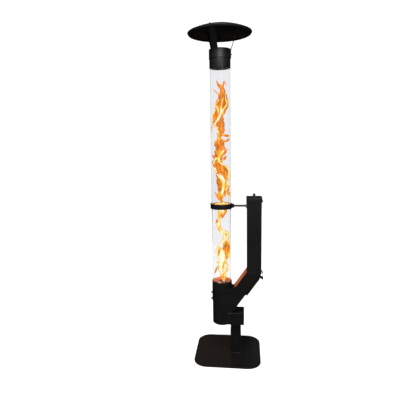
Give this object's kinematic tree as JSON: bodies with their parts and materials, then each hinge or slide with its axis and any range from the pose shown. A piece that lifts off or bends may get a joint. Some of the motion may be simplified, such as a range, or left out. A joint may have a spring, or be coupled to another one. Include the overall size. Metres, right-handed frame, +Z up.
{
  "type": "pellet patio heater",
  "caption": "Gravity-fed wood pellet patio heater with a base plate and post, a stacked glass flame tube under a domed reflector, and a side hopper with a sloping chute",
  "frame": {"origin": "centre of the underside of the base plate", "axes": "+Z up along the flame tube, +X from the flame tube towards the hopper, -Y the front"},
  "size_m": [0.4789, 0.42, 2.1715],
  "materials": {
    "stand_coat": "satin black powder coat",
    "base_coat": "gloss black powder coat",
    "glass_tube": "clear polished borosilicate",
    "burner_steel": "heat tinted stainless",
    "screw_zinc": "zinc plated",
    "rope_gasket": "woven glass fibre",
    "soft_seal": "matt",
    "knob_phenolic": "semi-gloss"
  },
  "bodies": {
    "stand": {"ash_box": "stand_coat", "base_plate": "base_coat", "base_screw_1": "screw_zinc", "base_screw_2": "screw_zinc", "base_screw_3": "screw_zinc", "base_screw_4": "screw_zinc", "box_screw_1": "screw_zinc", "box_screw_2": "screw_zinc", "box_screw_3": "screw_zinc", "box_screw_4": "screw_zinc", "brace_flange": "stand_coat", "brace_lug": "stand_coat", "brace_rod": "stand_coat", "burn_grate": "burner_steel", "burn_pot": "burner_steel", "burner_floor": "stand_coat", "burner_tube": "stand_coat", "chute_gusset": "stand_coat", "coupling_ring": "stand_coat", "feed_chute": "stand_coat", "flame_ring": "burner_steel", "gasket_above_ring": "rope_gasket", "gasket_below_ring": "rope_gasket", "gasket_foot": "rope_gasket", "gasket_top": "rope_gasket", "glass_collar": "stand_coat", "glass_socket": "stand_coat", "hatch_frame": "stand_coat", "hatch_pin": "screw_zinc", "hopper": "stand_coat", "lid_hinge_leaf": "stand_coat", "lid_hinge_pin": "screw_zinc", "lower_glass": "glass_tube", "post": "stand_coat", "post_foot": "stand_coat", "post_head": "stand_coat", "pot_ledge": "stand_coat", "reflector_dish": "stand_coat", "reflector_strap_1": "stand_coat", "reflector_strap_2": "stand_coat", "reflector_strap_3": "stand_coat", "strap_band": "stand_coat", "strap_screw_low_1": "screw_zinc", "strap_screw_low_2": "screw_zinc", "strap_screw_low_3": "screw_zinc", "strap_screw_top_1": "screw_zinc", "strap_screw_top_2": "screw_zinc", "strap_screw_top_3": "screw_zinc", "upper_glass": "glass_tube"},
    "hopper_lid_body": {"hopper_lid": "stand_coat", "lid_seal": "soft_seal", "lid_knob": "knob_phenolic", "lid_hinge_wing": "stand_coat"},
    "hatch_body": {"chute_hatch": "stand_coat", "hatch_seal": "soft_seal", "hatch_handle": "stand_coat"},
    "drawer_body": {"ash_drawer": "burner_steel"},
    "shutter_body": {"air_shutter": "stand_coat"},
    "thumbscrew_upper_body": {"thumbscrew_upper": "screw_zinc"},
    "thumbscrew_lower_body": {"thumbscrew_lower": "screw_zinc"}
  },
  "joints": [
    {"name": "lid_hinge", "type": "hinge", "parent": "stand", "child": "hopper_lid_body", "pos_m": [0.2326, 0, 1.0704], "axis": [0, 1, 0], "range_deg": [0, 110]},
    {"name": "hatch_hinge", "type": "hinge", "parent": "stand", "child": "hatch_body", "pos_m": [0.12542, 0, 0.43057], "axis": [0, 1, 0], "range_deg": [0, 90]},
    {"name": "drawer_slide", "type": "slide", "parent": "stand", "child": "drawer_body", "axis": [1, 0, 0], "range_m": [0, 0.15]},
    {"name": "shutter_turn", "type": "hinge", "parent": "stand", "child": "shutter_body", "pos_m": [-0.038, 0, 0.4105], "axis": [0, 0, 1], "range_deg": [0, 10]},
    {"name": "thumbscrew_upper_turn", "type": "hinge", "parent": "stand", "child": "thumbscrew_upper_body", "pos_m": [-0.1056, 0, 0.432], "axis": [-1, 0, 0], "continuous": true},
    {"name": "thumbscrew_lower_turn", "type": "hinge", "parent": "stand", "child": "thumbscrew_lower_body", "pos_m": [-0.1056, 0, 0.389], "axis": [-1, 0, 0], "continuous": true}
  ]
}
